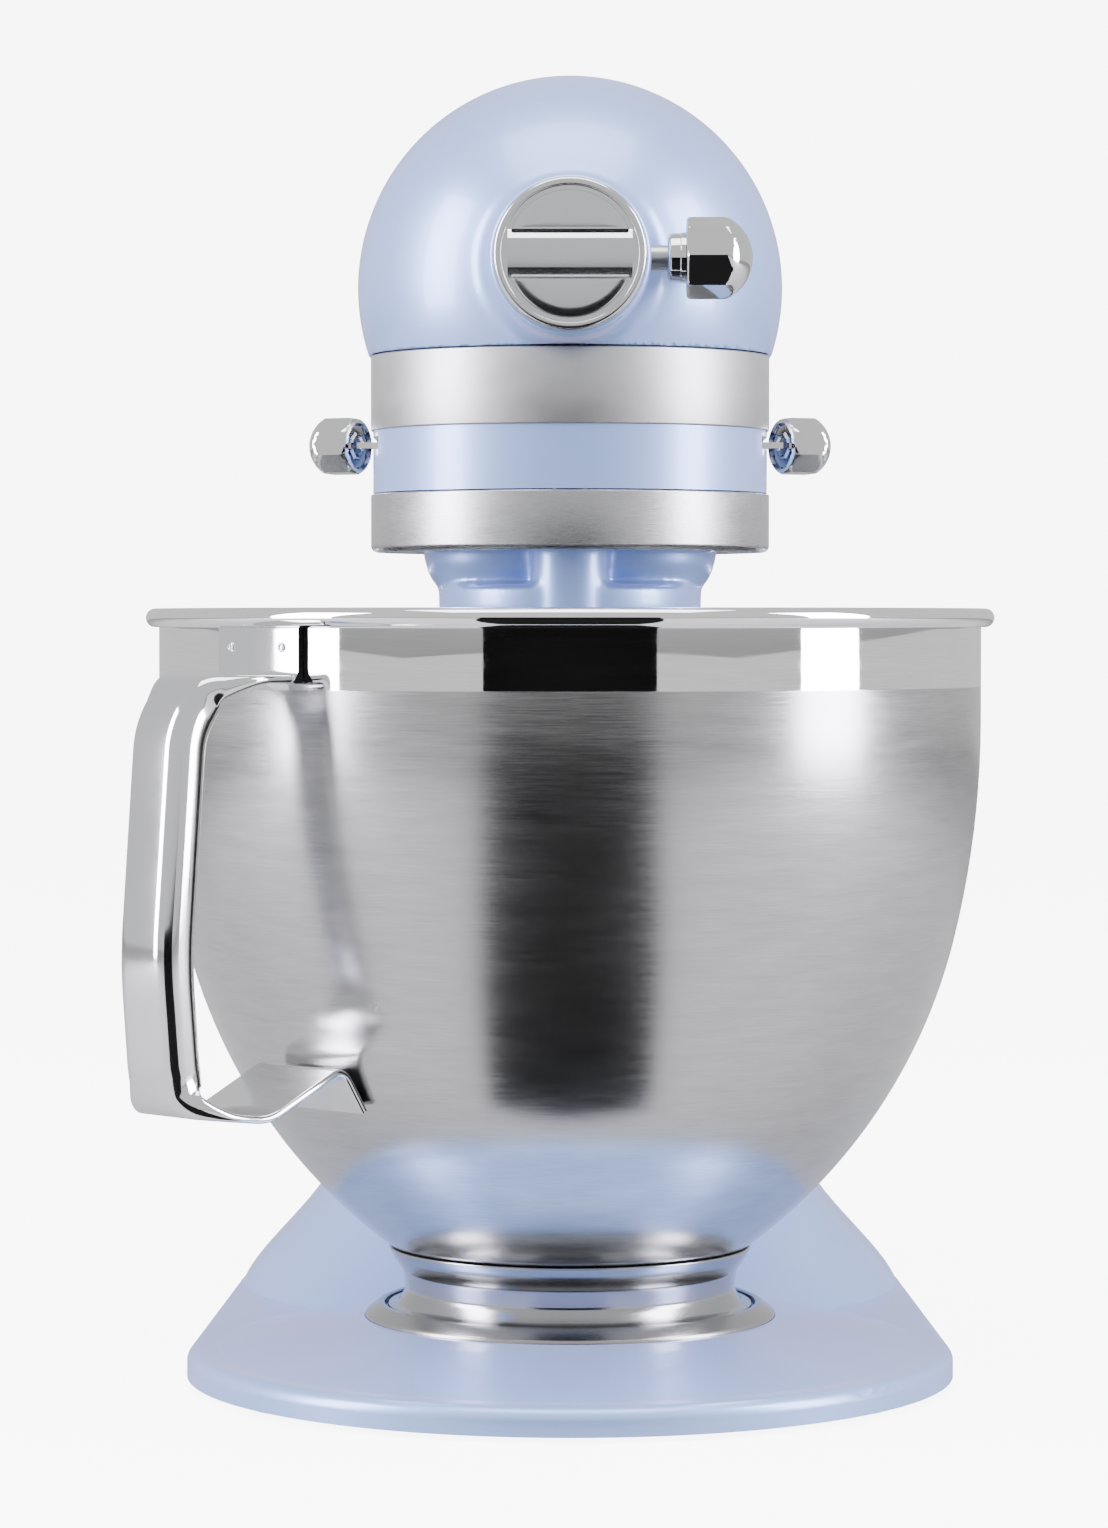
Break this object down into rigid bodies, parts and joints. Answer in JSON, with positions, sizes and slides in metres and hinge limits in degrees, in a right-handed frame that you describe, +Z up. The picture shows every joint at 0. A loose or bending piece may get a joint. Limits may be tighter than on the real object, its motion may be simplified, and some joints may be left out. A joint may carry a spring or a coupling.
{
  "type": "stand mixer",
  "caption": "Tilt-head stand mixer with a steel bowl, planetary drive, front power hub, speed and lock levers.",
  "frame": {"origin": "on the worktop, below the middle of the mixer's footprint", "axes": "+X right as seen from the front, +Y to the rear, +Z up; the hub faces -Y"},
  "size_m": [0.2258, 0.3603, 0.3473],
  "materials": {
    "body_paint": "pearl gloss enamel",
    "feet_rubber": "moulded, matt",
    "plate_steel": "satin",
    "screw_steel": "zinc plated",
    "shaft_steel": "ground",
    "band_steel": "satin along the band",
    "gear_steel": "machined",
    "bearing_bronze": "sintered bronze",
    "core_iron": "laminated",
    "coil_copper": "enamelled copper",
    "inner_aluminium": "die cast",
    "black_plastic": "fine grain",
    "lever_steel": "plated",
    "knob_chrome": "plated, polished",
    "cover_steel": "polished",
    "bowl_steel": "brushed below a polished band",
    "handle_steel": "polished"
  },
  "bodies": {
    "base": {"base_casting": "body_paint", "column_casting": "body_paint", "rubber_feet": "feet_rubber", "clamp_plate": "plate_steel", "clamp_plate_screws": "screw_steel", "column_bolts": "screw_steel", "hinge_pin": "shaft_steel", "head_rest_screw": "screw_steel"},
    "head": {"head_upper_housing": "body_paint", "gearcase": "body_paint", "trim_band": "band_steel", "rear_cover": "body_paint", "rear_cover_screw": "screw_steel", "cord_inlet_grommet": "feet_rubber", "hub_sleeve": "shaft_steel", "hub_cover_hinge_pin": "shaft_steel", "housing_screws": "screw_steel", "ring_gear": "gear_steel", "ring_gear_screws": "screw_steel", "centre_bearing": "bearing_bronze", "motor_stator": "core_iron", "stator_coils": "coil_copper", "front_bearing": "inner_aluminium", "rear_bearing_bracket": "inner_aluminium", "brush_holders": "bearing_bronze", "carbon_brushes": "black_plastic", "brush_caps": "black_plastic", "speed_control_board": "black_plastic"},
    "planetary": {"planetary_housing": "body_paint", "drip_ring": "band_steel", "planetary_pin": "shaft_steel", "centre_shaft": "shaft_steel", "centre_gear": "gear_steel", "centre_bevel": "gear_steel"},
    "agitator": {"agitator_shaft": "shaft_steel", "agitator_cross_pin": "shaft_steel", "planet_pinion": "gear_steel"},
    "countershaft": {"countershaft": "shaft_steel", "counter_pinion": "gear_steel", "worm_wheel": "bearing_bronze"},
    "armature": {"armature_shaft": "shaft_steel", "armature_core": "core_iron", "commutator": "coil_copper", "cooling_fan": "black_plastic"},
    "hub_drive": {"hub_drive_shaft": "shaft_steel", "hub_bevel_gear": "gear_steel"},
    "speed_lever": {"speed_lever_arm": "lever_steel", "speed_knob": "knob_chrome"},
    "speed_slider": {"speed_slider": "black_plastic"},
    "lock_lever": {"lock_lever_arm": "lever_steel", "lock_knob": "knob_chrome"},
    "lock_pin": {"lock_pin": "shaft_steel"},
    "attachment_knob": {"attachment_knob": "knob_chrome", "attachment_knob_screw": "screw_steel"},
    "hub_cover": {"hub_cover": "cover_steel"},
    "bowl_seat": {"bowl_foot": "bowl_steel"},
    "bowl": {"bowl_shell": "bowl_steel", "bowl_handle": "handle_steel"}
  },
  "joints": [
    {"name": "head_tilt", "type": "hinge", "parent": "base", "child": "head", "pos_m": [0, 0.123, 0.224], "axis": [-1, 0, 0], "range_deg": [0, 45]},
    {"name": "bowl_lift", "type": "slide", "parent": "base", "child": "bowl_seat", "axis": [0, 0, 1], "range_m": [0, 0.025]},
    {"name": "bowl_twist", "type": "hinge", "parent": "bowl_seat", "child": "bowl", "pos_m": [0, -0.067, 0.03], "axis": [0, 0, 1], "range_deg": [0, 30]},
    {"name": "planetary_spin", "type": "hinge", "parent": "head", "child": "planetary", "pos_m": [0, -0.067, 0.23], "axis": [0, 0, 1], "continuous": true},
    {"name": "agitator_spin", "type": "hinge", "parent": "planetary", "child": "agitator", "pos_m": [0, -0.094, 0.21], "axis": [0, 0, 1], "continuous": true},
    {"name": "countershaft_spin", "type": "hinge", "parent": "head", "child": "countershaft", "pos_m": [-0.0217, -0.04451, 0.27], "axis": [0, 0, 1], "continuous": true},
    {"name": "motor_spin", "type": "hinge", "parent": "head", "child": "armature", "pos_m": [0, 0.067, 0.2943], "axis": [0, 1, 0], "continuous": true},
    {"name": "hub_drive_spin", "type": "hinge", "parent": "head", "child": "hub_drive", "pos_m": [0, -0.097, 0.2943], "axis": [0, -1, 0], "continuous": true},
    {"name": "speed_lever_turn", "type": "hinge", "parent": "head", "child": "speed_lever", "pos_m": [0.024, -0.063, 0.25], "axis": [0, 0, -1], "range_deg": [0, 50]},
    {"name": "speed_slider_travel", "type": "slide", "parent": "head", "child": "speed_slider", "axis": [1, 0, 0], "range_m": [0, 0.012]},
    {"name": "lock_lever_turn", "type": "hinge", "parent": "head", "child": "lock_lever", "pos_m": [-0.024, -0.063, 0.25], "axis": [0, 0, 1], "range_deg": [0, 40]},
    {"name": "lock_pin_travel", "type": "slide", "parent": "head", "child": "lock_pin", "axis": [0, 1, 0], "range_m": [0, 0.01]},
    {"name": "attachment_knob_turn", "type": "hinge", "parent": "head", "child": "attachment_knob", "pos_m": [0.03, -0.129, 0.2943], "axis": [1, 0, 0], "range_deg": [0, 360]},
    {"name": "hub_cover_flip", "type": "hinge", "parent": "head", "child": "hub_cover", "pos_m": [0, -0.1416, 0.3118], "axis": [-1, 0, 0], "range_deg": [0, 100]}
  ],
  "couplings": [
    {"joint": "agitator_spin", "follows": "planetary_spin", "ratio": -3},
    {"joint": "countershaft_spin", "follows": "planetary_spin", "ratio": -2.5714},
    {"joint": "motor_spin", "follows": "planetary_spin", "ratio": 15.429},
    {"joint": "hub_drive_spin", "follows": "planetary_spin", "ratio": 1},
    {"joint": "speed_slider_travel", "follows": "speed_lever_turn", "m_per_rad": 0.01375},
    {"joint": "lock_pin_travel", "follows": "lock_lever_turn", "m_per_rad": 0.014323}
  ]
}
